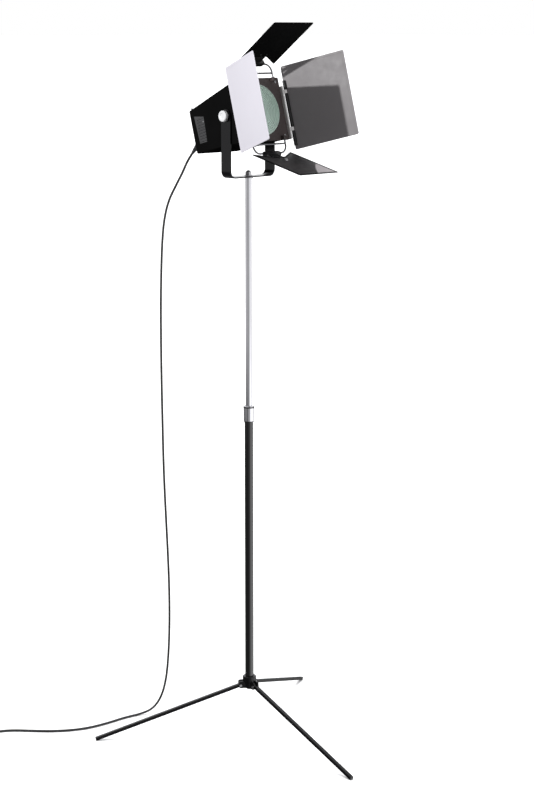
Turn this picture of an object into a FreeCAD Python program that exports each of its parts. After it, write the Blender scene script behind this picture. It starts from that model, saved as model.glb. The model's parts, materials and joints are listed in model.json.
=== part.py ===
"""Fresnel spotlight with barn doors on a tripod stand.

Frame: origin on the floor at the pole's axis, +Z up, the lamp faces -Y, millimetres.
Head parts are drawn in the head's own axes (x across, y up the front plate, z forward along
the light's axis, origin at the tilt pivot) and then placed at the tilt they rest at.
"""
import FreeCAD, Part
import math
import os

V = FreeCAD.Vector
X_AXIS, Y_AXIS, Z_AXIS = V(1, 0, 0), V(0, 1, 0), V(0, 0, 1)
ORIGIN = V(0, 0, 0)

# stand
leg_names = {"front": -95.0, "left": 25.0, "right": 145.0}
leg_width = 8.0
leg_reach = 369.5
leg_end_height = 3.2
leg_pivot_radius = 22.0
leg_pivot_height = 118.7
leg_stub = 5.5
hub_radius = 16.0
hub_bottom = 112.0
hub_top = 141.0
hub_disc_bottom = 126.5
hub_core_radius = 13.0
ear_thickness = 3.0
ear_reach = 26.5
leg_side_gap = 0.2
pivot_bolt_radius = 2.0
tube_radius = 10.0
tube_bore = 8.6
tube_bottom = 116.0
tube_top = 791.5
pole_radius = 7.5
pole_bore = 6.3
pole_bottom = 690.0
pole_top = 1326.0
guide_length = 40.0
running_gap = 0.05
socket_bottom = 762.0
socket_top = 765.0
ring_top = 800.5
socket_radius = 11.4
ring_radius = 12.4
ring_band = (795.9, 799.1)
ring_band_depth = 0.5
ring_band_radius = 12.7
ring_lip = 795.1
thread_radius = 11.0
pole_plug_length = 30.0

# yoke
yoke_thickness = 3.0
yoke_width = 30.0
yoke_base = 1328.0
yoke_inner = 66.1
yoke_corner = 16.0
pivot_height = 1466.0
stud_radius = 4.0
nut_flats = 13.0
nut_top = 1343.5
stud_top = nut_top - 6.0
nut_washer = 1.0

# head
head_tilt = 15.5
half_width = 64.0
wall = 1.5
rear_n = -120.5
front_n = 40.0
rear_w = (-58.0, 41.0)
front_w = (-67.5, 70.5)
housing_round = 4.0
window = [(-110.0, 25.5), (-77.0, 17.6), (-80.0, -39.0), (-106.0, -38.6)]  # (n, w) corners of the side vent
washer_radius = 14.0
tilt_hole = 4.1
plate_size = 142.0
plate_thickness = 2.6
axis_offset = 2.3
lens_visible = 58.0
lens_radius = 60.5
lens_rings = 12
knob_radius = 12.5
knob_inner = 69.1
knob_stud_inner = 54.0
tilt_nut_radius = 8.0
tilt_nut_length = 8.5
slot_pitch = 14.0
rod_guide_radius = 5.5
focus_rod_radius = 3.0
lamp_n = -38.0
carriage_n = -72.0
gland_neck_radius = 5.0
switch_across = (20.0, 41.0)
switch_up = (-38.5, -24.5)
switch_wall = 2.0
knob_outer = 80.5

# barn doors
hinge_n = front_n + plate_thickness + 6.0
rod_radius = 2.0
bail_half = 50.0
bail_bend = 18.0
bail_cross = 80.0
end_hinge = 100.3
side_hinge = 81.9
leaf_thickness = 1.2
end_leaf = (120.0, 155.1)
side_leaf = (190.0, 153.1)
notch_depth = 29.0
notch_half = 15.0
open_angles = {"left": 21.4, "right": 19.5, "top": 20.2, "bottom": 29.2}
hinge_bar_ends = (-86.0, 62.0)
hinge_bar_radius = 3.5
bracket_knuckles = (-52.0, 33.0)
bracket_knuckle_length = 8.0
bracket_ring_radius = 3.1
bracket_bar = (71.0, 75.0)
bracket_ends = (-70.0, 50.0)
bail_block_width = 7.0
bail_block_ends = (62.0, 70.5)
screw_hole = 1.4
rivet_shank = 1.1

# mains lead
cord_radius = 2.75
coil_centre = (-478.0, 454.0)
coil_inner = 24.4
coil_outer = 36.6
coil_height = 11.3
gland_across = -52.0
gland_up = -38.0
boot_length = 24.0
boot_fall = 45.0

# route of the lead, by hand: from the boot down behind the stand and out over the floor
UPPER_ROUTE = [
    (-52.0, 129.21, 1378.46), (-52.0, 146.2, 1361.47), (-53.2, 163.5, 1332.0), (-55.2, 186.5, 1299.0),
    (-58.0, 209.0, 1264.0), (-60.5, 223.0, 1218.0), (-62.0, 229.8, 1154.0), (-62.5, 232.0, 1100.0),
]
MIDDLE_ROUTE = [
    (-62.5, 232.0, 1100.0), (-62.96, 234.04, 1050.0), (-64.6, 233.6, 975.0), (-66.8, 231.4, 897.0),
    (-69.0, 228.2, 812.0), (-70.4, 225.2, 735.0), (-71.0, 223.6, 680.0),
]
LOWER_ROUTE = [
    (-71.0, 223.6, 680.0), (-71.545, 222.145, 630.0), (-71.0, 219.0, 552.0), (-69.0, 216.5, 471.0),
    (-66.0, 215.4, 390.0), (-63.0, 216.2, 309.0), (-61.5, 218.6, 229.0), (-62.5, 222.6, 151.0),
    (-66.0, 228.0, 88.0), (-75.0, 236.0, 42.0), (-93.0, 247.0, 12.0), (-122.0, 259.0, 2.75),
    (-166.0, 269.0, 2.75), (-224.0, 270.0, 2.75), (-284.0, 281.0, 2.75), (-338.0, 314.0, 2.75),
    (-380.0, 358.0, 2.75), (-413.0, 396.0, 2.75), (-446.0, 415.0, 2.75), (-478.0, 420.0, 2.75),
]
TAIL_ROUTE = [(-505.9, 473.5, 8.5), (-496.3, 487.4, 7.6), (-486.0, 501.0, 6.0), (-474.0, 514.1, 5.5)]


def box(x_range, y_range, z_range):
    low = V(x_range[0], y_range[0], z_range[0])
    return Part.makeBox(x_range[1] - x_range[0], y_range[1] - y_range[0], z_range[1] - z_range[0], low)


def rod(start, end, radius):
    return Part.makeCylinder(radius, (end - start).Length, start, end - start)


def tube(start, end, outer, inner):
    return rod(start, end, outer).cut(rod(start, end, inner))


def upright(radius, low, high, x=0.0, y=0.0):
    return rod(V(x, y, low), V(x, y, high), radius)


def upright_tube(outer, inner, low, high):
    return tube(V(0, 0, low), V(0, 0, high), outer, inner)


def slab(points, direction):
    """Flat polygon pushed along a direction."""
    return Part.Face(Part.makePolygon(points + points[:1])).extrude(direction)


def turned(outline):
    """Solid of revolution about Z from (radius, height) points."""
    points = [V(r, 0, z) for r, z in outline]
    return Part.Face(Part.makePolygon(points + points[:1])).revolve(ORIGIN, Z_AXIS, 360)


def hexagon(flats, low, high):
    corner = flats / math.sqrt(3)
    angles = [k * math.pi / 3 for k in range(6)]
    points = [V(corner * math.cos(a), corner * math.sin(a), low) for a in angles]
    return slab(points, V(0, 0, high - low))


def turned_about(shape, angle, centre=ORIGIN, axis=Z_AXIS):
    copy = shape.copy()
    copy.rotate(centre, axis, angle)
    return copy


def moved(shape, offset):
    copy = shape.copy()
    copy.translate(offset)
    return copy


def mirrored(shape):
    return shape.mirror(ORIGIN, X_AXIS)


def on_head(shape):
    """From the head's own axes to the frame."""
    return moved(turned_about(shape, 90 - head_tilt, ORIGIN, X_AXIS), V(0, 0, pivot_height))


def on_front(shape):
    """Front plate, lens and doors sit on the light's axis, a little above the tilt pivot."""
    return on_head(moved(shape, V(0, axis_offset, 0)))


def rounded(shape, radius, chosen):
    return shape.makeFillet(radius, [e for e in shape.Edges if chosen(e)])


def edge_centre(edge):
    return edge.valueAt((edge.FirstParameter + edge.LastParameter) / 2)


def along(edge, axis):
    if not isinstance(edge.Curve, (Part.Line, Part.LineSegment)):
        return False
    return abs(abs(edge.tangentAt(edge.FirstParameter).dot(axis)) - 1) < 1e-6


def bent_rod(points, radius, bends):
    """Round bar along straight runs joined by tangent arcs; returns the solid and its length."""
    edges, length, at = [], 0.0, points[0]
    for before, corner, after, bend in zip(points, points[1:], points[2:], bends):
        back, ahead = (before - corner).normalize(), (after - corner).normalize()
        half_turn = (math.pi - back.getAngle(ahead)) / 2
        setback = bend * math.tan(half_turn)
        start, end = corner + back * setback, corner + ahead * setback
        middle_out = (back + ahead).normalize()
        middle = corner + middle_out * (bend / math.cos(half_turn) - bend)
        edges.append(Part.LineSegment(at, start).toShape())
        edges.append(Part.Arc(start, middle, end).toShape())
        length += (start - at).Length + 2 * half_turn * bend
        at = end
    edges.append(Part.LineSegment(at, points[-1]).toShape())
    length += (points[-1] - at).Length
    section = Part.Wire(Part.makeCircle(radius, points[0], points[1] - points[0]))
    return Part.Wire(edges).makePipeShell([section], True, True), length


def cord_tube(name, route):
    """Plain tube of the lead; every arc is as large as its two runs allow."""
    points = [V(*p) for p in route]
    bends = []
    for before, corner, after in zip(points, points[1:], points[2:]):
        back, ahead = before - corner, after - corner
        turn = math.pi - back.getAngle(ahead)
        bends.append(0.45 * min(back.Length, ahead.Length) / math.tan(turn / 2))
    solid, length = bent_rod(points, cord_radius, bends)
    expected = math.pi * cord_radius ** 2 * length
    print(f"{name}: length {length:.1f}, tightest radius {min(bends):.1f}, "
          f"volume ratio {solid.Volume / expected:.4f}")
    print("   radii", [round(b) for b in bends])
    return solid


# ---- stand ----------------------------------------------------------------------------------

def leg_line():
    """Points on a leg's centre line, drawn along +X: pivot, inner end and outer end."""
    pivot = V(leg_pivot_radius, 0, leg_pivot_height)
    end = V(leg_reach, 0, leg_end_height)
    way = (end - pivot).normalize()
    return pivot, pivot - way * leg_stub, end


def square_bar(start, end, width):
    way = end - start
    bar = box((0, way.Length), (-width / 2, width / 2), (-width / 2, width / 2))
    bar = turned_about(bar, math.degrees(math.atan2(-way.z, way.x)), ORIGIN, Y_AXIS)
    return moved(bar, start)


def above_floor(shape):
    return shape.common(box((-500, 500), (-500, 500), (0, 300)))


def make_leg():
    pivot, inner, end = leg_line()
    bar = above_floor(square_bar(inner, end, leg_width))
    hole = rod(pivot + V(0, -leg_width, 0), pivot + V(0, leg_width, 0), pivot_bolt_radius + running_gap)
    return bar.cut(hole)


def make_leg_bolt():
    pivot = leg_line()[0]
    half = leg_width / 2 + leg_side_gap + ear_thickness
    shank = rod(pivot + V(0, -half, 0), pivot + V(0, half, 0), pivot_bolt_radius)
    for side in (-1, 1):
        head = rod(pivot + V(0, side * half, 0), pivot + V(0, side * (half + 1.6), 0), 3.2)
        shank = shank.fuse(head)
    return shank


def make_hub():
    disc = upright(hub_radius, hub_disc_bottom, hub_top)
    disc = disc.makeChamfer(1.5, [e for e in disc.Edges if len(e.Vertexes) == 1])
    hub = disc.fuse(upright(hub_core_radius, hub_bottom, hub_disc_bottom))
    ear_inner = leg_width / 2 + leg_side_gap
    pivot = leg_line()[0]
    for azimuth in leg_names.values():
        for side in (-1, 1):
            near, far = sorted((side * ear_inner, side * (ear_inner + ear_thickness)))
            ear = box((hub_core_radius - 2, ear_reach), (near, far), (hub_bottom, hub_disc_bottom + 3))
            ear = rounded(ear, 5.0, lambda e: along(e, Y_AXIS) and edge_centre(e).x > leg_pivot_radius)
            ear = ear.cut(rod(pivot + V(0, -20, 0), pivot + V(0, 20, 0), pivot_bolt_radius))
            hub = hub.fuse(turned_about(ear, azimuth))
    hub = hub.cut(upright(tube_radius, tube_bottom, hub_top + 1))
    return hub.removeSplitter()


def make_lock_ring():
    """Twist ring: a cup over the collar's thread, grooved outside for its dark band."""
    groove = ring_radius - ring_band_depth
    bore = thread_radius + 0.1
    mouth = pole_radius + 0.6
    bottom = socket_top + 0.3
    return turned([
        (bore, bottom), (ring_radius, bottom), (ring_radius, ring_band[0]), (groove, ring_band[0]),
        (groove, ring_band[1]), (ring_radius, ring_band[1]), (ring_radius, ring_top - 1.0),
        (ring_radius - 1.0, ring_top), (mouth, ring_top), (mouth, ring_lip), (bore, ring_lip),
    ])


def stand_parts():
    parts = {"leg_hub": make_hub()}
    bolts = []
    for name, azimuth in leg_names.items():
        parts["leg_" + name] = turned_about(make_leg(), azimuth)
        bolts.append(turned_about(make_leg_bolt(), azimuth))
    parts["leg_pivot_bolts"] = Part.makeCompound(bolts)
    parts["hub_bolt"] = turned([(0, hub_bottom - 3.5), (7, hub_bottom - 3.5), (8, hub_bottom - 2.5),
                                (8, hub_bottom), (0, hub_bottom)])
    parts["lower_tube"] = upright_tube(tube_radius, tube_bore, tube_bottom, tube_top)
    socket = upright_tube(socket_radius, tube_radius, socket_bottom, socket_top)
    socket = socket.fuse(upright_tube(thread_radius, tube_radius, socket_top, tube_top))
    parts["collar_socket"] = socket.removeSplitter()
    parts["collar_bush"] = upright_tube(tube_bore, pole_radius + running_gap, socket_top, tube_top)
    parts["stop_sleeve"] = upright_tube(tube_bore, pole_radius + 0.4,
                                        pole_bottom + guide_length, socket_top)
    parts["lock_ring"] = make_lock_ring()
    parts["lock_ring_band"] = upright_tube(ring_band_radius, ring_radius - ring_band_depth, *ring_band)
    parts["upper_pole"] = upright_tube(pole_radius, pole_bore, pole_bottom, pole_top)
    parts["pole_guide"] = upright_tube(tube_bore - running_gap, pole_radius, pole_bottom,
                                       pole_bottom + guide_length)
    plug = upright(pole_bore, pole_top - pole_plug_length, pole_top)
    plug = plug.fuse(upright(stud_radius, pole_top, stud_top))
    parts["pole_top_stud"] = plug.removeSplitter()
    return parts


# ---- yoke -----------------------------------------------------------------------------------

def make_yoke():
    outer = yoke_inner + yoke_thickness
    top = pivot_height + yoke_width / 2
    half = yoke_width / 2

    def bend(edge):
        return along(edge, Y_AXIS) and edge_centre(edge).z < pivot_height - 50

    shell = rounded(box((-outer, outer), (-half, half), (yoke_base, top)), yoke_corner, bend)
    inside = box((-yoke_inner, yoke_inner), (-half - 1, half + 1), (yoke_base + yoke_thickness, top + 30))
    yoke = shell.cut(rounded(inside, yoke_corner - yoke_thickness, bend))
    ends = rod(V(-outer - 1, 0, pivot_height), V(outer + 1, 0, pivot_height), half)
    below = box((-outer - 1, outer + 1), (-half - 1, half + 1), (yoke_base - 1, pivot_height))
    yoke = yoke.common(ends.fuse(below))
    yoke = yoke.cut(rod(V(-outer - 1, 0, pivot_height), V(outer + 1, 0, pivot_height), tilt_hole))
    return yoke.cut(upright(stud_radius + 0.1, yoke_base - 1, yoke_base + 5))


def make_cap_nut():
    low = yoke_base + yoke_thickness + nut_washer
    shoulder = nut_top - 4.5
    nut = hexagon(nut_flats, low, shoulder)
    dome = Part.makeSphere(nut_flats / 2, V(0, 0, shoulder - 2)).common(upright(8, shoulder, nut_top))
    return nut.fuse(dome).removeSplitter().cut(upright(stud_radius, low - 1, stud_top))


def yoke_parts():
    base_top = yoke_base + yoke_thickness
    washers = [upright_tube(11.0, stud_radius, pole_top, yoke_base),
               upright_tube(9.0, stud_radius, base_top, base_top + nut_washer)]
    return {"yoke": make_yoke(), "yoke_washers": Part.makeCompound(washers), "yoke_cap_nut": make_cap_nut()}


# ---- head -----------------------------------------------------------------------------------

def wedge(inset, front_extra, rear_extra):
    """The housing's wedge, pulled in by an inset all round and run past its open ends."""
    slope_top = (front_w[1] - rear_w[1]) / (front_n - rear_n)
    slope_bottom = (front_w[0] - rear_w[0]) / (front_n - rear_n)
    n_rear, n_front = rear_n - rear_extra, front_n + front_extra
    half = half_width - inset
    corners = [
        V(-half, rear_w[0] - slope_bottom * rear_extra + inset, n_rear),
        V(-half, rear_w[1] - slope_top * rear_extra - inset, n_rear),
        V(-half, front_w[1] + slope_top * front_extra - inset, n_front),
        V(-half, front_w[0] + slope_bottom * front_extra + inset, n_front),
    ]
    solid = slab(corners, V(2 * half, 0, 0))

    def long_edge(edge):
        return not along(edge, X_AXIS) and abs(edge_centre(edge).z - (n_rear + n_front) / 2) < 10

    return rounded(solid, housing_round - inset, long_edge)


def window_slab(grow, inner, outer):
    centre_n = sum(n for n, w in window) / 4
    centre_w = sum(w for n, w in window) / 4
    points = []
    for n, w in window:
        n_sign = 1 if n > centre_n else -1
        w_sign = 1 if w > centre_w else -1
        points.append(V(inner, w + grow * w_sign, n + grow * n_sign))
    return slab(points, V(outer - inner, 0, 0))


def make_housing():
    shell = wedge(0, 0, 0).cut(wedge(wall, 5, 5))
    for side in (-1, 1):
        shell = shell.cut(window_slab(0, side * (half_width - 5), side * (half_width + 5)))
    shell = shell.cut(rod(V(-80, 0, 0), V(80, 0, 0), tilt_hole))
    for k in range(6):
        n = -100 + slot_pitch * k
        slot = box((-32, 32), (-100, 100), (n, n + 4))
        slot = rounded(slot, 1.9, lambda e: along(e, Y_AXIS))
        shell = shell.cut(slot)
    return shell


def make_grille():
    inner = half_width - wall - 0.8
    plate = window_slab(5, inner, half_width - wall)
    for k in range(9):
        w = -36 + 6.2 * k
        plate = plate.cut(box((inner - 1, half_width), (w, w + 3.4), (-103, -82)))
    for k in range(9):
        w = -36 + 6.2 * k
        louvre = slab([V(inner, w + 3.4, -104), V(half_width - 0.3, w + 1.2, -104),
                       V(half_width - 0.3, w + 0.6, -104), V(inner, w + 2.8, -104)], V(0, 0, 23))
        plate = plate.fuse(louvre)
    return plate.removeSplitter()


def make_rear_cover():
    """Tray that closes the rear end: a plate with a turned-in rim, holed for the parts it carries."""
    rim_depth = 4.0
    body = wedge(wall + 0.05, 0, 0).common(box((-80, 80), (-80, 80), (rear_n, rear_n + rim_depth)))
    hollow = wedge(wall + 1.3, 0, 0).common(box((-80, 80), (-80, 80), (rear_n + 1.5, rear_n + rim_depth)))
    cover = body.cut(hollow).fuse(upright(rod_guide_radius, rear_n + 1.5, rear_n + 22))
    cover = cover.cut(upright(focus_rod_radius + running_gap, rear_n - 5, rear_n + 25))
    cover = cover.cut(box(switch_across, switch_up, (rear_n - 5, rear_n + 5)))
    cover = cover.cut(upright(gland_neck_radius, rear_n - 5, rear_n + 5, gland_across, gland_up))
    for row in range(5):
        w = 14 + 4.5 * row
        slot = box((-30, 30), (w, w + 2), (rear_n - 5, rear_n + 5))
        cover = cover.cut(slot)
    return cover


def pan_head(x, y, z, radius=3.0, height=1.6):
    """Slotted pan head screw seen from +z."""
    head = turned([(0, -4), (1.4, -4), (1.4, 0), (radius, 0), (radius, height * 0.5),
                   (radius * 0.6, height), (0, height)])
    head = head.cut(box((-radius, radius), (-0.35, 0.35), (height * 0.5, height + 1)))
    return moved(turned_about(head, 30), V(x, y, z))


def cut_clear(shape, screws):
    for screw in screws:
        centre = screw.BoundBox.Center
        shape = shape.cut(rod(V(centre.x, centre.y, -200), V(centre.x, centre.y, 200), screw_hole))
    return shape


def make_lens():
    """Stepped lens: flat at the back, rings of short slopes in front, a domed middle."""
    back, rim = 31.5, 41.2
    face = lens_visible - 0.1
    outline = [
        (0, back), (lens_radius, back), (lens_radius, front_n - 0.1), (face, front_n - 0.1), (face, rim),
    ]
    step = face / (lens_rings + 1)
    for k in range(lens_rings):
        outer = face - step * k
        slope = 0.4 + 1.6 * outer / face
        outline.append((outer, rim))
        outline.append((outer - step * 0.92, rim + slope))
    core = face - step * lens_rings
    outline += [(core, rim), (core * 0.7, rim + 1.1), (core * 0.35, rim + 1.7), (0, rim + 1.9)]
    clean = [outline[0]]
    for point in outline[1:]:
        if math.dist(point, clean[-1]) > 1e-6:
            clean.append(point)
    return turned(clean)


def make_front_plate():
    half = plate_size / 2
    plate = box((-half, half), (-half, half), (front_n, front_n + plate_thickness))
    plate = rounded(plate, 3.0, lambda e: along(e, Z_AXIS))
    hole = turned([(0, front_n - 1), (lens_visible, front_n - 1), (lens_visible, front_n + 1.2),
                   (lens_visible + 1.6, front_n + plate_thickness),
                   (lens_visible + 1.6, front_n + plate_thickness + 1), (0, front_n + plate_thickness + 1)])
    rim = turned([(lens_radius + 0.1, 30.0), (lens_radius + 1.4, 30.0), (lens_radius + 1.4, front_n),
                  (lens_radius + 0.1, front_n)])
    return plate.cut(hole).fuse(rim).removeSplitter()


def make_knob():
    """Round grip with a scalloped rim, a dished face and its stud."""
    knob = turned([(0, knob_inner), (9, knob_inner), (9, knob_inner + 3), (knob_radius - 1, knob_inner + 3),
                   (knob_radius, knob_inner + 4), (knob_radius, knob_outer - 1.5),
                   (knob_radius - 1.5, knob_outer), (6.5, knob_outer), (5.5, knob_outer - 0.8),
                   (0, knob_outer - 0.8)])
    for k in range(16):
        groove = upright(1.2, knob_inner + 1, knob_outer + 1, knob_radius + 0.5)
        knob = knob.cut(turned_about(groove, k * 360 / 16))
    knob = knob.fuse(upright(stud_radius, knob_stud_inner, knob_inner))
    return turned_about(knob, 90, ORIGIN, Y_AXIS)


def lamp_parts():
    """What slides along the light's axis to focus: carriage, holder, bulb, reflector, rod and pull knob."""
    half = 24.0
    back = carriage_n + 2.0
    grip_top = rear_n - 14
    grip = turned([
        (0, grip_top - 13), (8, grip_top - 13), (10, grip_top - 11), (10, grip_top - 3),
        (8, grip_top), (0, grip_top),
    ])
    groove = upright(1.0, grip_top - 14, grip_top + 1, 10.4)
    for k in range(12):
        grip = grip.cut(turned_about(groove, k * 30))
    plate = box((-half, half), (-half, half), (carriage_n, back))
    shelf = box((-half, half), (-half - 2, -half), (carriage_n, lamp_n + 10))
    holder = turned([(0, 0), (11, 0), (11, 9), (8.5, 12), (8.5, 15), (0, 15)])
    bulb = turned([(0, 15), (5, 15), (6.5, 18), (6.5, 34), (5, 39), (2, 41), (0, 41)])
    centre = V(0, 0, lamp_n)
    bowl_radius, bowl_mouth = 36.0, 27.0
    bowl = Part.makeSphere(bowl_radius, centre).cut(Part.makeSphere(bowl_radius - 1.2, centre))
    bowl = bowl.common(upright(bowl_mouth, -100, lamp_n - 12))
    bowl = bowl.common(box((-40, 40), (-half + 0.1, 40), (back + 0.1, 0)))
    parts = {
        "focus_rod": upright(focus_rod_radius, grip_top, carriage_n),
        "focus_knob": grip,
        "focus_carriage": plate.fuse(shelf),
        "reflector": bowl,
    }
    for name, shape in (("lamp_holder", holder), ("bulb", bulb)):
        standing = turned_about(moved(shape, V(0, 0, -half)), -90, ORIGIN, X_AXIS)
        parts[name] = moved(standing, centre)
    return parts


def gland_parts():
    """Gland nut on the rear cover and the tapered boot that leads the cord down."""
    seat = rear_n
    nut = upright(8.0, seat - 4, seat, gland_across, gland_up)
    neck = upright(gland_neck_radius, seat, seat + 9, gland_across, gland_up)
    centre = V(gland_across, gland_up, seat - 6.5)
    ball = Part.makeSphere(6.4, centre)
    boot = Part.makeCone(6.2, cord_radius + 0.6, boot_length, ORIGIN, Z_AXIS)
    fall = boot_fall - head_tilt
    way = V(0, -math.sin(math.radians(fall)), -math.cos(math.radians(fall)))
    boot.Placement = FreeCAD.Placement(centre, FreeCAD.Rotation(Z_AXIS, way))
    gland = nut.fuse([neck, ball, boot]).removeSplitter()
    end = on_head(Part.Vertex(centre + way * boot_length)).Point
    print("boot ends at", [round(c, 2) for c in end], "the route starts at", UPPER_ROUTE[0])
    return {"cord_gland": on_head(gland)}


def switch_parts():
    """Rocker switch snapped into the rear cover."""
    left, right = switch_across[0] + switch_wall, switch_across[1] - switch_wall
    low, high = switch_up[0] + switch_wall, switch_up[1] - switch_wall
    middle = (low + high) / 2
    case = box(switch_across, switch_up, (rear_n - 1.5, rear_n + 14))
    case = case.cut(box((left, right), (low, high), (rear_n - 2, rear_n + 8)))
    rocker = rod(V(left + 0.3, middle, rear_n + 2.5), V(right - 0.3, middle, rear_n + 2.5), 4.6)
    rocker = rocker.common(box((left, right), (low + 0.2, high - 0.2), (rear_n - 2.6, rear_n + 7.5)))
    return {"switch_case": case, "switch_rocker": rocker}


def head_parts():
    parts = {"housing": make_housing()}
    grille = make_grille()
    parts["vent_grilles"] = Part.makeCompound([grille, mirrored(grille)])
    cover_screws = [pan_head(sx * 54, w, -rear_n) for sx in (-1, 1) for w in (-44, 32)]
    cover_screws = [turned_about(s, 180, ORIGIN, X_AXIS) for s in cover_screws]
    cover_screws = [s for s in cover_screws if (s.BoundBox.Center - V(gland_across, gland_up, 0)).x > 20
                    or s.BoundBox.Center.y > 0]
    parts["rear_cover"] = cut_clear(make_rear_cover(), cover_screws)
    parts["cover_screws"] = Part.makeCompound(cover_screws)
    parts.update(switch_parts())
    parts["friction_washers"] = Part.makeCompound([
        tube(V(s * half_width, 0, 0), V(s * yoke_inner, 0, 0), washer_radius, tilt_hole) for s in (-1, 1)])
    inner = half_width - wall
    nut = rod(V(inner, 0, 0), V(inner - tilt_nut_length, 0, 0), tilt_nut_radius)
    nut = nut.cut(rod(V(half_width - 12, 0, 0), V(half_width + 2, 0, 0), stud_radius + running_gap))
    parts["tilt_nuts"] = Part.makeCompound([nut, mirrored(nut)])
    placed = {name: on_head(shape) for name, shape in parts.items()}

    front = {"lens": make_lens(), "front_plate": make_front_plate()}
    front["lens_ring"] = turned([(lens_visible - 1, 30.0), (lens_radius, 30.0), (lens_radius, 31.5),
                                 (lens_visible - 1, 31.5)])
    top = front_n + plate_thickness
    corner = plate_size / 2 - 10
    screws = [pan_head(sx * corner, sy * corner, top) for sx in (-1, 1) for sy in (-1, 1)]
    front["front_plate"] = cut_clear(front["front_plate"], screws)
    front["front_screws"] = Part.makeCompound(screws)
    placed.update({name: on_front(shape) for name, shape in front.items()})
    placed.update({name: on_head(shape) for name, shape in lamp_parts().items()})
    placed.update(gland_parts())
    return placed


def tilt_parts():
    knob = make_knob()
    return {"tilt_knob_left": on_head(knob), "tilt_knob_right": on_head(mirrored(knob))}


# ---- barn doors -----------------------------------------------------------------------------

def make_bail():
    """Round rod bent to a square hoop, with a brace across its legs; the hoop's top is the hinge pin."""
    foot = bail_block_ends[0] + 1.0
    corners = [(bail_half, foot), (bail_half, end_hinge), (-bail_half, end_hinge), (-bail_half, foot)]
    hoop = bent_rod([V(x, y, hinge_n) for x, y in corners], rod_radius, [bail_bend, bail_bend])[0]
    brace = rod(V(-bail_half, bail_cross, hinge_n), V(bail_half, bail_cross, hinge_n), rod_radius)
    return hoop.fuse(brace)


def make_bail_blocks():
    """Small clamps on the plate that hold the legs of the upper bail."""
    low, high = bail_block_ends
    blocks = []
    for side in (-1, 1):
        middle = side * bail_half
        block = box((middle - bail_block_width / 2, middle + bail_block_width / 2), (low, high),
                    (front_n + plate_thickness, hinge_n + rod_radius + 1.2))
        block = rounded(block, 1.2, lambda e: edge_centre(e).z > hinge_n + rod_radius)
        hole = rod(V(middle, low + 1.0, hinge_n), V(middle, high + 1.0, hinge_n), rod_radius)
        blocks.append(block.cut(hole))
    return blocks


def make_side_bracket():
    """Slim bright bar on the edge of the front plate with two arms whose rings carry the hinge pin."""
    arm_half = 1.6
    bar = box(bracket_bar, bracket_ends, (front_n, hinge_n + arm_half))
    bracket = rounded(bar, 0.8, lambda e: along(e, Y_AXIS))
    for low in bracket_knuckles:
        high = low + bracket_knuckle_length
        arm = box((bracket_bar[1] - 1.0, side_hinge), (low, high), (hinge_n - arm_half, hinge_n + arm_half))
        ring = rod(V(side_hinge, low, hinge_n), V(side_hinge, high, hinge_n), bracket_ring_radius)
        bracket = bracket.fuse([arm, ring])
    bracket = bracket.cut(rod(V(side_hinge, -90, hinge_n), V(side_hinge, 90, hinge_n), rod_radius))
    return bracket.removeSplitter()


def bar_spans():
    """Stretches of the side hinge bar between the bracket's rings."""
    gap = 0.4
    edges = [hinge_bar_ends[0]]
    for low in bracket_knuckles:
        edges += [low - gap, low + bracket_knuckle_length + gap]
    edges.append(hinge_bar_ends[1])
    return list(zip(edges[::2], edges[1::2]))


def rivet(x, z, low, high):
    """Small domed rivet through sheet along y."""
    shank = rod(V(x, low, z), V(x, high, z), rivet_shank)
    for at, side in ((low, -1), (high, 1)):
        dome = Part.makeSphere(2.2, V(x, at - side * 1.0, z))
        far = at + side * 2
        dome = dome.common(box((x - 3, x + 3), (min(at, far), max(at, far)), (z - 3, z + 3)))
        shank = shank.fuse(dome)
    return shank


def end_leaf_parts(angle):
    """Top leaf and hinge block, drawn about the hinge axis with the leaf along +z, then opened."""
    half, depth = end_leaf[0] / 2, end_leaf[1]
    t = leaf_thickness / 2
    outline = [(-half, 0.0), (-half, depth), (half, depth), (half, 0.0), (notch_half, notch_depth),
               (-notch_half, notch_depth)]
    sheet = slab([V(x, -t, z) for x, z in outline], V(0, 2 * t, 0))
    sheet = rounded(sheet, 2.5, lambda e: along(e, Y_AXIS) and edge_centre(e).z > depth - 1)
    barrel = rod(V(-22, 0, 0), V(22, 0, 0), 5.0).fuse(box((-22, 22), (-5, 3.5), (0, 11)))
    tab = box((-notch_half + 1, notch_half - 1), (t, t + 1.6), (9, notch_depth + 14))
    block = barrel.fuse(tab)
    block = block.cut(rod(V(-30, 0, 0), V(30, 0, 0), rod_radius + running_gap))
    rivets = [rivet(x, notch_depth + 8, -t, t + 1.6) for x in (-9, 9)]
    for one in rivets:
        x = one.BoundBox.Center.x
        hole = rod(V(x, -5, notch_depth + 8), V(x, 5, notch_depth + 8), rivet_shank)
        sheet, block = sheet.cut(hole), block.cut(hole)
    hinge = Part.makeCompound([block] + rivets)
    opened = [turned_about(s, -angle, ORIGIN, X_AXIS) for s in (sheet, hinge)]
    return [moved(s, V(0, end_hinge, hinge_n)) for s in opened]


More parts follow.
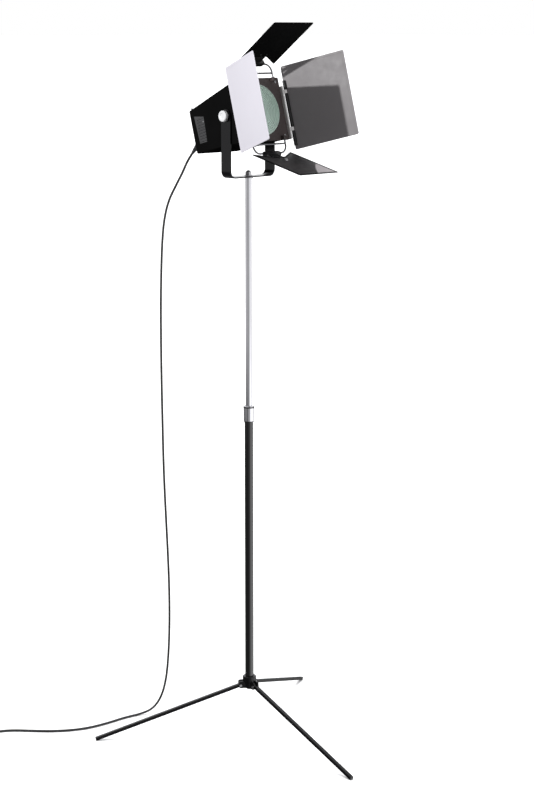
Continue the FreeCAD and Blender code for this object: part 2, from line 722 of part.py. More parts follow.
def side_leaf_parts(angle):
    """Left leaf and its hinge bar, drawn about the hinge axis with the leaf along +z, then opened.

    The sheet laps over the bar on its outer side; the bar is flat there and welded to it.
    """
    half, depth = side_leaf[0] / 2, side_leaf[1]
    radius = hinge_bar_radius
    sheet = box((radius, radius + leaf_thickness), (-half, half), (-radius, depth))
    sheet = rounded(sheet, 2.5, lambda e: along(e, X_AXIS))
    bars = []
    for low, high in bar_spans():
        piece = rod(V(0, low, 0), V(0, high, 0), radius)
        piece = piece.fuse(box((0, radius), (low, high), (-radius, radius)))
        bars.append(piece.cut(rod(V(0, low - 1, 0), V(0, high + 1, 0), rod_radius + running_gap)))
    opened = [turned_about(shape, angle, ORIGIN, Y_AXIS) for shape in (sheet, Part.makeCompound(bars))]
    return [moved(shape, V(side_hinge, 0, hinge_n)) for shape in opened]


def flipped(shape):
    """Mirror image top to bottom."""
    return shape.mirror(ORIGIN, Y_AXIS)


def door_parts():
    bail, blocks, bracket = make_bail(), make_bail_blocks(), make_side_bracket()
    low_end = V(side_hinge, hinge_bar_ends[0] - 1, hinge_n)
    high_end = V(side_hinge, hinge_bar_ends[1] + 1, hinge_n)
    pin = rod(low_end, high_end, rod_radius)
    parts = {
        "bail_top": bail,
        "bail_bottom": flipped(bail),
        "bail_blocks": Part.makeCompound(blocks + [flipped(b) for b in blocks]),
        "side_bracket_left": bracket,
        "side_bracket_right": mirrored(bracket),
        "hinge_pins": Part.makeCompound([pin, mirrored(pin)]),
    }
    names = ("leaf_", "leaf_hinge_")
    for name, turn in (("top", None), ("bottom", flipped)):
        for prefix, shape in zip(names, end_leaf_parts(open_angles[name])):
            parts[prefix + name] = turn(shape) if turn else shape
    for name, turn in (("left", None), ("right", mirrored)):
        for prefix, shape in zip(names, side_leaf_parts(open_angles[name])):
            parts[prefix + name] = turn(shape) if turn else shape
    return {name: on_front(shape) for name, shape in parts.items()}


# ---- mains lead -----------------------------------------------------------------------------

def make_plug():
    """Two-pin plug lying on the floor in line with the lead's last run."""
    start, end = V(*TAIL_ROUTE[-2]), V(*TAIL_ROUTE[-1])
    way = (end - start).normalize()
    body_length, nose_length, pin_length = 34.0, 3.0, 18.0
    pin_spacing, pin_height = 6.3, 5.5
    body = box((0, body_length), (-11, 11), (0, 2 * pin_height))
    body = rounded(body, 3.0, lambda e: along(e, Z_AXIS) and edge_centre(e).x > body_length / 2)
    face = body_length + nose_length
    plug = body.fuse(box((body_length, face), (-8, 8), (1.5, 9.5)))
    for y in (-pin_spacing, pin_spacing):
        plug = plug.fuse(rod(V(face, y, pin_height), V(face + pin_length, y, pin_height), 2.0))
    plug = turned_about(plug.removeSplitter(), math.degrees(math.atan2(way.y, way.x)))
    return moved(plug, V(end.x, end.y, 0))


def cord_parts():
    parts = {
        "cord_upper": cord_tube("cord_upper", UPPER_ROUTE),
        "cord_middle": cord_tube("cord_middle", MIDDLE_ROUTE),
        "cord_lower": cord_tube("cord_lower", LOWER_ROUTE),
        "cord_tail": cord_tube("cord_tail", TAIL_ROUTE),
    }
    centre = V(coil_centre[0], coil_centre[1], 0)
    coil = upright_tube(coil_outer, coil_inner, 0, coil_height)
    coil = rounded(coil, 3.0, lambda e: len(e.Vertexes) == 1)
    parts["cord_coil"] = moved(coil, centre)
    parts["plug"] = make_plug()
    tie = box((coil_inner - 1.2, coil_outer + 1.2), (-3, 3), (0, coil_height + 1.2))
    hollow = upright_tube(coil_outer, coil_inner, 0, coil_height)
    tie = tie.cut(rounded(hollow, 3.0, lambda e: len(e.Vertexes) == 1))
    parts["cord_tie"] = moved(tie, centre)
    return parts


def main():
    os.makedirs("parts", exist_ok=True)
    parts = {}
    for group in (stand_parts, yoke_parts, head_parts, tilt_parts, door_parts, cord_parts):
        parts.update(group())
    for name, shape in parts.items():
        if not shape.isValid() or not shape.Solids:
            print("not a valid solid:", name)
        shape.exportStep(f"parts/{name}.step")
    print(len(parts), "nodes")


main()
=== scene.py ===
"""Fresnel spotlight on a tripod stand: materials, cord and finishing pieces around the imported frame."""
import json
import math

import bmesh
import bpy
from mathutils import Matrix, Vector


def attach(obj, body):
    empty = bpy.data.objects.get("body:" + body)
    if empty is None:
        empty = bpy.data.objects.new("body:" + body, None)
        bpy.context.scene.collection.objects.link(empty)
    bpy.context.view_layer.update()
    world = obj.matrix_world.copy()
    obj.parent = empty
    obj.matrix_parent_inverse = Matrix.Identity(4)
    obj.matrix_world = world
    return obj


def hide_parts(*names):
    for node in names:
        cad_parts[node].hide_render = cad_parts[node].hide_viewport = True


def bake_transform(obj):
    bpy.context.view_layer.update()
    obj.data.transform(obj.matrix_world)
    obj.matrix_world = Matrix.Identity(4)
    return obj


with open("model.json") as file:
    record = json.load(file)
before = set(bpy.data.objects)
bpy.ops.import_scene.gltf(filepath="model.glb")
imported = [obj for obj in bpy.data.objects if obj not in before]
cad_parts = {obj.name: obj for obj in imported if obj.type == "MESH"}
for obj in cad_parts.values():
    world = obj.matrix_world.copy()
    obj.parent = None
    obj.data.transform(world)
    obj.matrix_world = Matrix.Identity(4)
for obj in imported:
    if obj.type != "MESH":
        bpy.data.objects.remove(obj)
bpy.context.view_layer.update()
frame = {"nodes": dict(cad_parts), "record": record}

# The head at rest: its tilt, the beam's height over the tilt axis, that axis and how far ahead of it
# the leaves' hinges are.
HEAD_TILT = math.radians(15.5)
AXIS_OFFSET = 0.0023
PIVOT = Vector((0.0, 0.0, 1.466))
HINGE_FORWARD = 0.0486


# ---- camera, floor and light ----------------------------------------------------------------

CAMERA_AZIMUTH = math.radians(-133.5)
CAMERA_DISTANCE = 4.0149
CAMERA_HEIGHT = 1.6526
CAMERA_PITCH = math.radians(11.8)
CAMERA_YAW = math.radians(-0.6)
SENSOR = 36.0
LENS = 79.7


def make_camera():
    data = bpy.data.cameras.new("camera")
    data.sensor_width = SENSOR
    data.lens = LENS
    data.clip_start, data.clip_end = 0.05, 900.0
    camera = bpy.data.objects.new("camera", data)
    bpy.context.scene.collection.objects.link(camera)
    camera.location = (CAMERA_DISTANCE * math.cos(CAMERA_AZIMUTH),
                       CAMERA_DISTANCE * math.sin(CAMERA_AZIMUTH), CAMERA_HEIGHT)
    heading = CAMERA_AZIMUTH + math.pi + CAMERA_YAW
    camera.rotation_euler = (math.pi / 2 - CAMERA_PITCH, 0.0, heading - math.pi / 2)
    bpy.context.scene.camera = camera


# The room as bright metal sees it: centre and half width by compass of each flag and soft light, with
# its brightness in the room and down towards the floor.
PANELS = [
    (math.radians(140.0), math.radians(55.0), 0.72, 0.13),
    (math.radians(46.5), math.radians(24.0), 1.40, 0.06),
    (math.radians(-158.0), math.radians(12.0), 0.36, 0.10),
    (math.radians(-58.0), math.radians(45.0), 1.25, 2.00),
]
ROOM = (0.60, 0.45)
ROOM_TINT = (1.0, 1.0, 1.02)
# How steeply down the floor's brightness starts to count, and where it is all there is.
FLOOR_FROM, FLOOR_FULL = -0.15, -0.23
EDGE_SOFTNESS = 0.3


def make_world():
    """Grey room with its flags and soft lights, so that bright metal gets its edges. The camera itself sees
    plain white behind the lamp."""
    world = bpy.data.worlds.new("studio")
    world.use_nodes = True
    bpy.context.scene.world = world
    tree = world.node_tree
    background = tree.nodes["Background"]
    where = tree.nodes.new("ShaderNodeTexCoord")
    split = tree.nodes.new("ShaderNodeSeparateXYZ")
    tree.links.new(where.outputs["Generated"], split.inputs[0])
    azimuth = math_node(tree, "ARCTAN2", split.outputs[1], split.outputs[0])
    levels = list(ROOM)
    for centre, half, *brightness in PANELS:
        off = math_node(tree, "SUBTRACT", azimuth, centre)
        off = math_node(tree, "ABSOLUTE", math_node(tree, "WRAP", off, -math.pi, math.pi))
        share = smooth_range(tree, off, half * (1 + EDGE_SOFTNESS), half * (1 - EDGE_SOFTNESS))
        for k in (0, 1):
            step = math_node(tree, "SUBTRACT", brightness[k], levels[k])
            levels[k] = math_node(tree, "ADD", math_node(tree, "MULTIPLY", step, share), levels[k])
    low = smooth_range(tree, split.outputs[2], FLOOR_FROM, FLOOR_FULL)
    step = math_node(tree, "MULTIPLY", math_node(tree, "SUBTRACT", levels[1], levels[0]), low)
    level = math_node(tree, "ADD", step, levels[0])
    tint = tree.nodes.new("ShaderNodeVectorMath")
    tint.operation = "SCALE"
    tint.inputs[0].default_value = ROOM_TINT
    tree.links.new(level, tint.inputs["Scale"])
    seen = tree.nodes.new("ShaderNodeLightPath")
    plain = tree.nodes.new("ShaderNodeMix")
    plain.data_type = "RGBA"
    tree.links.new(seen.outputs["Is Camera Ray"], plain.inputs["Factor"])
    tree.links.new(tint.outputs[0], plain.inputs[6])
    plain.inputs[7].default_value = (1.0, 1.0, 1.0, 1.0)
    tree.links.new(plain.outputs[2], background.inputs["Color"])


def smooth_range(tree, value, start, end):
    """From nothing at the start to one at the end, eased at both; start may be the larger."""
    flip = -1.0 if start > end else 1.0
    node = tree.nodes.new("ShaderNodeMapRange")
    node.interpolation_type = "SMOOTHSTEP"
    tree.links.new(math_node(tree, "MULTIPLY", value, flip), node.inputs["Value"])
    node.inputs["From Min"].default_value = start * flip
    node.inputs["From Max"].default_value = end * flip
    return node.outputs[0]


def math_node(tree, operation, first, second=None, third=None):
    """One sum, whose terms are numbers or other nodes' outputs."""
    node = tree.nodes.new("ShaderNodeMath")
    node.operation = operation
    for socket, value in zip(node.inputs, (first, second, third)):
        if value is None:
            continue
        if isinstance(value, (int, float)):
            socket.default_value = value
        else:
            tree.links.new(value, socket)
    return node.outputs[0]


FLOOR_HALF = 400.0
FLOOR_DROP = 0.0005


def make_floor():
    """Plain pale floor that reaches past the horizon and throws no light back on the lamp."""
    mesh = bpy.data.meshes.new("floor")
    corners = [(x * FLOOR_HALF, y * FLOOR_HALF, 0.0) for x, y in ((-1, -1), (1, -1), (1, 1), (-1, 1))]
    mesh.from_pydata(corners, [], [(0, 1, 2, 3)])
    floor = bpy.data.objects.new("floor", mesh)
    bpy.context.scene.collection.objects.link(floor)
    floor.location.z = -FLOOR_DROP
    material = bpy.data.materials.new("floor")
    material.use_nodes = True
    shader = material.node_tree.nodes["Principled BSDF"]
    shader.inputs["Base Color"].default_value = (0.97, 0.97, 0.97, 1.0)
    shader.inputs["Roughness"].default_value = 0.9
    shader.inputs["Specular IOR Level"].default_value = 0.0
    mesh.materials.append(material)
    floor.visible_diffuse = False
    floor.visible_glossy = False
    return floor


KEY_AIM = (0.0, -0.15, 1.47)
KEY_AT = (-1.864, -0.185, 2.112)
KEY_POWER = 38.0
KEY_SIZE = (0.04, 0.04)
WASH_POWER = 2.6
WASH_SPREAD = math.radians(60.0)


def linked_group(name, thing, state):
    """A receiver group for one light: the thing alone, or everything but the thing."""
    group = bpy.data.collections.new(name)
    group.objects.link(thing)
    group.collection_objects[0].light_linking.link_state = state
    return group


def area_light(name, location, target, size, power, receivers):
    """Rectangular lamp at a place, turned to its target and out of the camera's sight."""
    data = bpy.data.lights.new(name, "AREA")
    data.shape = "RECTANGLE"
    data.size, data.size_y = size
    data.energy = power
    light = bpy.data.objects.new(name, data)
    bpy.context.scene.collection.objects.link(light)
    light.location = location
    way = Vector(target) - Vector(location)
    light.rotation_euler = way.to_track_quat("-Z", "Y").to_euler()
    light.light_linking.receiver_collection = receivers
    light.visible_camera = False


def floor_wash(floor):
    """Even light straight down that reaches the floor only, so that it ends as white as the backdrop."""
    data = bpy.data.lights.new("floor_wash", "SUN")
    data.energy = WASH_POWER
    data.angle = WASH_SPREAD
    light = bpy.data.objects.new("floor_wash", data)
    bpy.context.scene.collection.objects.link(light)
    light.light_linking.receiver_collection = linked_group("floor_only", floor, "INCLUDE")


def make_lights(floor):
    """A fairly hard key on the camera's left, which throws the near leaf's shadow over the far one."""
    subject = linked_group("not_the_floor", floor, "EXCLUDE")
    area_light("key", KEY_AT, KEY_AIM, KEY_SIZE, KEY_POWER, subject)
    floor_wash(floor)


# ---- materials ------------------------------------------------------------------------------

NOISE_SPREAD = (0.3, 0.7)
BUMP_DEPTH = 0.0004
COAT_ROUGHNESS = 0.08


def noise(tree, where, scale, detail=3.0, stretch=None):
    """Noise in the object's own metres; stretch squeezes it along an axis into streaks."""
    texture = tree.nodes.new("ShaderNodeTexNoise")
    texture.inputs["Scale"].default_value = scale
    texture.inputs["Detail"].default_value = detail
    source = where
    if stretch:
        mapping = tree.nodes.new("ShaderNodeMapping")
        mapping.inputs["Scale"].default_value = stretch
        tree.links.new(where, mapping.inputs["Vector"])
        source = mapping.outputs[0]
    tree.links.new(source, texture.inputs["Vector"])
    return texture.outputs["Fac"]


def ranged(tree, value, low, high):
    """The middle of a noise's spread, stretched from low to high."""
    node = tree.nodes.new("ShaderNodeMapRange")
    tree.links.new(value, node.inputs["Value"])
    node.inputs["From Min"].default_value, node.inputs["From Max"].default_value = NOISE_SPREAD
    node.inputs["To Min"].default_value = low
    node.inputs["To Max"].default_value = high
    return node.outputs[0]


def surface(name, colour, metallic=0.0, roughness=(0.3, 0.4), specular=0.5, variation=0.12, patch=14.0,
            grain=900.0, bump=0.05, stretch=None, coat=0.0, transmission=0.0, ior=1.5):
    """One procedural finish: mottled colour, uneven roughness and a fine bump. Patch and grain are how many
    blotches and bumps there are to the metre."""
    material = bpy.data.materials.new(name)
    material.use_nodes = True
    tree = material.node_tree
    shader = tree.nodes["Principled BSDF"]
    where = tree.nodes.new("ShaderNodeTexCoord").outputs["Object"]
    blotch = noise(tree, where, patch, 4.0)
    mix = tree.nodes.new("ShaderNodeMix")
    mix.data_type = "RGBA"
    tree.links.new(ranged(tree, blotch, 0.0, 1.0), mix.inputs["Factor"])
    mix.inputs[6].default_value = [c * (1 - variation) for c in colour] + [1.0]
    mix.inputs[7].default_value = [min(1.0, c * (1 + variation)) for c in colour] + [1.0]
    tree.links.new(mix.outputs[2], shader.inputs["Base Color"])
    fine = noise(tree, where, grain, 2.0, stretch)
    rough = noise(tree, where, patch * 5, 3.0, stretch)
    tree.links.new(ranged(tree, rough, *roughness), shader.inputs["Roughness"])
    bumping = tree.nodes.new("ShaderNodeBump")
    bumping.inputs["Strength"].default_value = bump
    bumping.inputs["Distance"].default_value = BUMP_DEPTH
    tree.links.new(fine, bumping.inputs["Height"])
    tree.links.new(bumping.outputs[0], shader.inputs["Normal"])
    shader.inputs["Metallic"].default_value = metallic
    shader.inputs["Specular IOR Level"].default_value = specular
    shader.inputs["Coat Weight"].default_value = coat
    shader.inputs["Coat Roughness"].default_value = COAT_ROUGHNESS
    shader.inputs["Transmission Weight"].default_value = transmission
    shader.inputs["IOR"].default_value = ior
    return material


STREAK_Z = (1.0, 1.0, 0.02)

FINISH = {
    "black_steel": surface("satin_black", (0.002, 0.002, 0.0024), roughness=(0.16, 0.24), specular=0.28),
    "black_tube": surface("gloss_black", (0.003, 0.003, 0.0027), roughness=(0.1, 0.15), specular=0.6,
                          coat=0.3),
    "chrome": surface("polished_chrome", (0.62, 0.62, 0.64), metallic=1.0, roughness=(0.06, 0.14),
                      variation=0.04, bump=0.02, stretch=STREAK_Z),
    "bright_nut": surface("zinc_plate", (0.42, 0.42, 0.43), metallic=1.0, roughness=(0.22, 0.36),
                          variation=0.1),
    "housing_black": surface("housing_black", (0.0045, 0.0045, 0.0045), roughness=(0.5, 0.62),
                             specular=0.0, bump=0.12, grain=1400.0),
    "vent_grey": surface("vent_grey", (0.055, 0.055, 0.057), roughness=(0.4, 0.55), specular=0.2),
    "rod_steel": surface("drawn_rod", (0.15, 0.15, 0.155), metallic=1.0, roughness=(0.1, 0.18),
                         variation=0.06),
    "bracket_alloy": surface("satin_alloy", (0.62, 0.61, 0.60), metallic=0.6, roughness=(0.45, 0.58),
                             variation=0.05),
    "plate_brown": surface("plate_bronze", (0.050, 0.039, 0.038), roughness=(0.34, 0.46), specular=0.3,
                           bump=0.08),
    "lens_glass": surface("lens_glass", (0.56, 0.70, 0.62), roughness=(0.3, 0.42), transmission=0.2,
                          variation=0.03),
    "silver_knob": surface("turned_aluminium", (0.86, 0.86, 0.87), metallic=0.55, roughness=(0.25, 0.4),
                           variation=0.05),
    "door_outside": surface("door_outside", (0.585, 0.57, 0.62), roughness=(0.42, 0.52), specular=0.25,
                            variation=0.012, patch=9.0),
    # door_black holds painted shade on the top leaf's inner face: it is a near-black copy of the leaves'
    # inner finish (door_inside), standing in for the shade there. It also covers the outer faces of the top
    # and bottom leaves.
    "door_black": surface("door_black", (0.0015, 0.0015, 0.0015), roughness=(0.4, 0.5), specular=0.03),
    "door_inside": surface("door_inside", (0.176, 0.166, 0.170), roughness=(0.38, 0.48), specular=0.25,
                           variation=0.015, patch=9.0),
    # door_lower holds painted shade: it is a darker copy of door_inside for the lower leaf's inner face, so
    # that the whole face reads as in shadow. The corner light brightens its far corner.
    "door_lower": surface("door_lower", (0.026, 0.024, 0.025), roughness=(0.42, 0.5), specular=0.1,
                          variation=0.03),
    "hinge_black": surface("hinge_black", (0.006, 0.006, 0.006), roughness=(0.3, 0.42), specular=0.3),
    "screw_steel": surface("screw_steel", (0.36, 0.36, 0.37), metallic=1.0, roughness=(0.2, 0.35)),
    "bush_plastic": surface("moulded_black", (0.014, 0.014, 0.015), roughness=(0.5, 0.62), bump=0.15,
                            grain=1800.0),
    "reflector_bright": surface("reflector", (0.82, 0.82, 0.83), metallic=1.0, roughness=(0.08, 0.16),
                                variation=0.03),
    "porcelain": surface("porcelain", (0.78, 0.77, 0.72), roughness=(0.15, 0.25), variation=0.03,
                         coat=0.5),
    "lamp_glass": surface("lamp_glass", (0.95, 0.95, 0.92), roughness=(0.3, 0.4), transmission=0.8,
                          variation=0.01),
    "cord_black": surface("cord_rubber", (0.012, 0.012, 0.012), roughness=(0.42, 0.58), bump=0.2,
                          grain=1500.0),
    "plug_black": surface("plug_plastic", (0.016, 0.016, 0.017), roughness=(0.38, 0.5), bump=0.12,
                          grain=1800.0),
    "switch_plastic": surface("switch_plastic", (0.012, 0.012, 0.012), roughness=(0.15, 0.25)),
}


def dress_frame():
    """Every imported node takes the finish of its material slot."""
    for part in frame["record"]["subparts"]:
        node = frame["nodes"][part["node"]]
        node.data.materials.clear()
        node.data.materials.append(FINISH[part["material_slot"]])


# ---- mesh helpers ---------------------------------------------------------------------------

def add_mesh(name, mesh, body):
    piece = bpy.data.objects.new(name, mesh)
    bpy.context.scene.collection.objects.link(piece)
    if body:
        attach(piece, body)
    return piece


def head_matrix(x, y, z):
    """From the head's own axes about the beam (x across, y up the plate, z forward) to the frame."""
    return Matrix.Translation(PIVOT) @ Matrix.Rotation(math.pi / 2 - HEAD_TILT, 4, "X") \
        @ Matrix.Translation((x, y + AXIS_OFFSET, z))


# ---- barn door leaves -----------------------------------------------------------------------

LEAF_THICKNESS = 0.0012
HEM_WIDTH = 0.005
HEM_RISE = 0.0005
EDGE_ROUND = 0.0004
HEM_STEP = 0.0008
CORNER_CLIP = 0.0025
SMALLEST_CLIP = 0.0003
CLIP_SHRINK = 0.6
END_LEAF = (0.120, 0.1551)
SIDE_LEAF = (0.190, 0.1531)
NOTCH_HALF, NOTCH_DEPTH = 0.015, 0.029
END_HINGE, SIDE_HINGE = 0.1003, 0.0819
BAR_RADIUS = 0.0035
OPEN = {"top": 20.2, "bottom": 29.2, "left": 21.4, "right": 19.5}


def inset_points(points, distance):
    """The outline moved inwards by a distance, corner by corner."""
    result = []
    count = len(points)
    for k in range(count):
        before, at, after = points[k - 1], points[k], points[(k + 1) % count]
        first, second = (at - before).normalized(), (after - at).normalized()
        normal_a, normal_b = Vector((-first.y, first.x)), Vector((-second.y, second.x))
        middle = (normal_a + normal_b).normalized()
        result.append(at + middle * (distance / max(0.3, middle.dot(normal_a))))
    return result


def clipped_ring(corners, distance):
    """The outline moved inwards with its corners clipped; the clip shrinks as the ring does."""
    clip = max(SMALLEST_CLIP, CORNER_CLIP - CLIP_SHRINK * distance)
    moved = inset_points(corners, distance)
    ring = []
    for k, at in enumerate(moved):
        before, after = moved[k - 1], moved[(k + 1) % len(moved)]
        ring.append(at + (before - at).normalized() * clip)
        ring.append(at + (after - at).normalized() * clip)
    return ring


def leaf_mesh(name, outline, hem_index):
    """Sheet leaf in its own plane (a across, b away from the hinge), with a folded hem standing a
    little proud round the edge. Material 0 is the side that faces +c, material 1 the side that faces -c,
    and the hem on the +c side takes hem_index."""
    outer = [Vector(p) for p in outline]
    area = sum(a.x * b.y - a.y * b.x for a, b in zip(outer, outer[1:] + outer[:1]))
    if area < 0:
        outer.reverse()
    steps = (0.0, EDGE_ROUND, HEM_WIDTH, HEM_WIDTH + HEM_STEP)
    outer, rim, hem, inner = (clipped_ring(outer, distance) for distance in steps)
    work = bmesh.new()
    half = LEAF_THICKNESS / 2
    count = len(outer)
    rings = {}
    for side in (1, -1):
        proud = half + HEM_RISE / 2
        rings[side] = [
            [work.verts.new((p.x, p.y, side * (proud - EDGE_ROUND))) for p in outer],
            [work.verts.new((p.x, p.y, side * proud)) for p in rim],
            [work.verts.new((p.x, p.y, side * proud)) for p in hem],
            [work.verts.new((p.x, p.y, side * half)) for p in inner],
        ]
    for side, rows in rings.items():
        for first, second in zip(rows, rows[1:]):
            for k in range(count):
                face = [first[k], first[(k + 1) % count], second[(k + 1) % count], second[k]]
                made = work.faces.new(face if side > 0 else face[::-1])
                made.material_index = hem_index if side > 0 else 1
        cap = rows[-1] if side > 0 else rows[-1][::-1]
        work.faces.new(cap).material_index = 0 if side > 0 else 1
    top, bottom = rings[1][0], rings[-1][0]
    for k in range(count):
        edge = work.faces.new([top[(k + 1) % count], top[k], bottom[k], bottom[(k + 1) % count]])
        edge.material_index = 1
    bmesh.ops.triangulate(work, faces=[f for f in work.faces if len(f.verts) > 4])
    mesh = bpy.data.meshes.new(name)
    work.to_mesh(mesh)
    work.free()
    return mesh


def end_outline():
    """Top and bottom leaf: the hinge edge is cut back on sloping lines to a narrow middle."""
    half, depth = END_LEAF[0] / 2, END_LEAF[1]
    return [(-half, 0.0), (-NOTCH_HALF, NOTCH_DEPTH), (NOTCH_HALF, NOTCH_DEPTH), (half, 0.0),
            (half, depth), (-half, depth)]


def side_outline():
    """Side leaf: a plain rectangle that starts behind its hinge bar."""
    half, depth = SIDE_LEAF[0] / 2, SIDE_LEAF[1]
    return [(-half, -BAR_RADIUS), (half, -BAR_RADIUS), (half, depth), (-half, depth)]


def make_leaf(name, outline, frame_matrix, inside, outside, hem=0):
    """One leaf's sheet, which takes the place of its CAD node."""
    mesh = leaf_mesh(name, outline, hem)
    mesh.transform(frame_matrix)
    mesh.materials.append(FINISH[inside])
    mesh.materials.append(FINISH[outside])
    piece = add_mesh(name + "_sheet", mesh, name)
    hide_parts(name)
    return piece


def make_leaves():
    """Each leaf's own axes: a along the hinge, b away from it, +c on the face towards the beam."""
    for name, side, hem in (("top", 1, 0), ("bottom", -1, 1)):
        angle = math.radians(OPEN[name])
        away = Vector((0, side * math.sin(angle), math.cos(angle)))
        face = Vector((0, -side * math.cos(angle), math.sin(angle)))
        along = away.cross(face)
        place = head_matrix(0, side * END_HINGE, HINGE_FORWARD) @ columns(along, away, face)
        # The top leaf's inner face takes door_black and the lower leaf's takes door_lower. Both are darker
        # copies of door_inside that hold painted shade.
        inside = "door_black" if name == "top" else "door_lower"
        sheet = make_leaf("leaf_" + name, end_outline(), place, inside, "door_black", hem)
        if name == "bottom":
            corner_light(sheet, place)
            leaf_screw(place)
    for name, side in (("left", 1), ("right", -1)):
        angle = math.radians(OPEN[name])
        away = Vector((side * math.sin(angle), 0, math.cos(angle)))
        face = Vector((-side * math.cos(angle), 0, math.sin(angle)))
        along = away.cross(face)
        place = head_matrix(side * SIDE_HINGE, 0, HINGE_FORWARD) @ columns(along, away, face) \
            @ Matrix.Translation((0, 0, -BAR_RADIUS - LEAF_THICKNESS / 2))
        make_leaf("leaf_" + name, side_outline(), place, "door_inside", "door_outside")


# Where the corner light's round pool falls on the lower leaf's plane (across, away from the hinge).
CORNER_CENTRE = (-0.2501, 0.3130)
CORNER_RADIUS = 0.300
CORNER_HEIGHT = 0.5
CORNER_POWER = 190.0
CORNER_BLEND = 0.02


def corner_light(sheet, place):
    """Narrow snooted light over the lower leaf alone, which brightens its far outer corner."""
    data = bpy.data.lights.new("corner", "SPOT")
    data.energy = CORNER_POWER
    data.spot_size = 2 * math.atan(CORNER_RADIUS / CORNER_HEIGHT)
    data.spot_blend = CORNER_BLEND
    data.use_shadow = False
    light = bpy.data.objects.new("corner", data)
    bpy.context.scene.collection.objects.link(light)
    light.matrix_world = place @ Matrix.Translation((*CORNER_CENTRE, CORNER_HEIGHT))
    light.light_linking.receiver_collection = linked_group("lower_leaf_only", sheet, "INCLUDE")


# The washer and the head of the screw: radius, lower and upper height over the sheet's middle.
SCREW_AT = (0.0035, 0.0520)
SCREW_STEPS = ((0.0052, 0.0006, 0.0016), (0.0038, 0.0016, 0.0040))
SCREW_TAPER = 0.94


def leaf_screw(place):
    """Bright pan head over a small washer where the lower leaf meets its pivot block."""
    work = bmesh.new()
    for radius, low, high in SCREW_STEPS:
        middle = place @ Matrix.Translation((*SCREW_AT, (low + high) / 2))
        bmesh.ops.create_cone(work, cap_ends=True, segments=32, radius1=radius,
                              radius2=radius * SCREW_TAPER, depth=high - low, matrix=middle)
    mesh = bpy.data.meshes.new("leaf_screw")
    work.to_mesh(mesh)
    work.free()
    mesh.materials.append(FINISH["screw_steel"])
    add_mesh("leaf_bottom_screw", mesh, "leaf_bottom")


def columns(first, second, third):
    """Rotation whose columns are the three directions."""
    return Matrix((first, second, third)).transposed().to_4x4()


# ---- mains lead -----------------------------------------------------------------------------

CORD = 0.0055
UPPER_ROUTE = [
    (-0.0520, 0.1292, 1.3785), (-0.0520, 0.1462, 1.3615), (-0.0532, 0.1635, 1.3320),
    (-0.0552, 0.1865, 1.2990), (-0.0580, 0.2090, 1.2640), (-0.0605, 0.2230, 1.2180),
    (-0.0620, 0.2298, 1.1540), (-0.0625, 0.2320, 1.1000),
]
MIDDLE_ROUTE = [
    (-0.0625, 0.2320, 1.1000), (-0.0630, 0.2340, 1.0500), (-0.0646, 0.2336, 0.9750),
    (-0.0668, 0.2314, 0.8970), (-0.0690, 0.2282, 0.8120), (-0.0704, 0.2252, 0.7350),
    (-0.0710, 0.2236, 0.6800),
]
LOWER_ROUTE = [
    (-0.0710, 0.2236, 0.6800), (-0.0715, 0.2221, 0.6300), (-0.0710, 0.2190, 0.5520),
    (-0.0690, 0.2165, 0.4710), (-0.0660, 0.2154, 0.3900), (-0.0630, 0.2162, 0.3090),
    (-0.0615, 0.2186, 0.2290), (-0.0625, 0.2226, 0.1510), (-0.0660, 0.2280, 0.0880),
    (-0.0750, 0.2360, 0.0420), (-0.0930, 0.2470, 0.0120), (-0.1220, 0.2590, 0.00275),
    (-0.1660, 0.2690, 0.00275), (-0.2240, 0.2700, 0.00275), (-0.2840, 0.2810, 0.00275),
    (-0.3380, 0.3140, 0.00275), (-0.3800, 0.3580, 0.00275), (-0.4130, 0.3960, 0.00275),
    (-0.4460, 0.4150, 0.00275), (-0.4780, 0.4200, 0.00275),
]
TAIL_ROUTE = [(-0.5059, 0.4735, 0.0085), (-0.4963, 0.4874, 0.0076), (-0.4860, 0.5010, 0.0060),
              (-0.4740, 0.5141, 0.0055)]
# The coil's centre, and the radius and height of each of its turns.
COIL_CENTRE = Vector((-0.478, 0.454))
COIL_LAYERS = [(0.0340, 0.00275), (0.0278, 0.00275), (0.0279, 0.0085), (0.0340, 0.0085)]
COIL_TURNS = 3 + 125 / 360
COIL_STEPS = 12


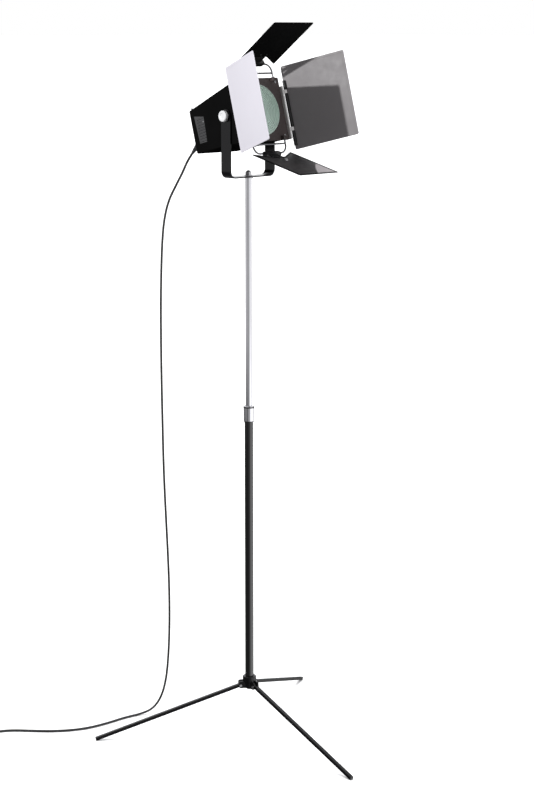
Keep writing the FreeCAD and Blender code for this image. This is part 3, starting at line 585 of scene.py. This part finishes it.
def coil_route():
    """Neat put-away turns, clockwise from above: outer and inner on the floor, then back over the top."""
    points = []
    for k in range(1, int(COIL_STEPS * COIL_TURNS) + 1):
        turn = k / COIL_STEPS
        low = COIL_LAYERS[int(turn)]
        high = COIL_LAYERS[min(int(turn) + 1, len(COIL_LAYERS) - 1)]
        shift = max(0.0, (turn % 1) * 3 - 2)
        shift = shift * shift * (3 - 2 * shift)
        radius = low[0] + (high[0] - low[0]) * shift
        height = low[1] + (high[1] - low[1]) * shift
        angle = -math.pi / 2 - 2 * math.pi * turn
        across = COIL_CENTRE + radius * Vector((math.cos(angle), math.sin(angle)))
        points.append((across.x, across.y, height))
    return points


def nurbs_line(name, points, bevel=0.0):
    """Smooth curve drawn by its route's points; a bevel turns it into a round tube with closed ends."""
    curve = bpy.data.curves.new(name, "CURVE")
    curve.dimensions = "3D"
    spline = curve.splines.new("NURBS")
    spline.points.add(len(points) - 1)
    for point, at in zip(spline.points, points):
        point.co = (*at, 1.0)
    spline.order_u = 3
    spline.use_endpoint_u = True
    spline.resolution_u = 8
    curve.bevel_depth = bevel
    curve.bevel_resolution = 5
    curve.use_fill_caps = True
    return bpy.data.objects.new(name, curve)


def mesh_of_curve(curve_object, name):
    """The curve's shape as a mesh; the curve itself is removed."""
    bpy.context.scene.collection.objects.link(curve_object)
    bpy.context.view_layer.update()
    evaluated = curve_object.evaluated_get(bpy.context.evaluated_depsgraph_get())
    mesh = bpy.data.meshes.new_from_object(evaluated)
    mesh.name = name
    curve = curve_object.data
    bpy.data.objects.remove(curve_object)
    bpy.data.curves.remove(curve)
    return mesh


def make_cord(name, route, stands_for):
    """One stretch of the lead: a smooth tube on the route's own curve, in place of the CAD nodes it stands
    for.
    """
    line = mesh_of_curve(nurbs_line(name + "_line", route), name + "_line")
    mesh = mesh_of_curve(nurbs_line(name, route, CORD / 2), name)
    mesh.materials.clear()
    mesh.materials.append(FINISH["cord_black"])
    for polygon in mesh.polygons:
        polygon.use_smooth = True
    piece = add_mesh(name, mesh, None)
    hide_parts(*stands_for)
    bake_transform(piece)
    bpy.data.meshes.remove(line)


def make_lead():
    """Three stretches, each in place of the CAD cord nodes it hides."""
    make_cord("lead_upper", UPPER_ROUTE, ["cord_upper"])
    make_cord("lead_middle", MIDDLE_ROUTE, ["cord_middle"])
    route = LOWER_ROUTE + coil_route() + TAIL_ROUTE
    make_cord("lead_lower", route, ["cord_lower", "cord_coil", "cord_tail"])


# ---- everything -----------------------------------------------------------------------------

def main():
    bpy.context.scene.view_settings.view_transform = "Standard"
    make_camera()
    make_world()
    make_lights(make_floor())
    dress_frame()
    make_leaves()
    make_lead()


main()
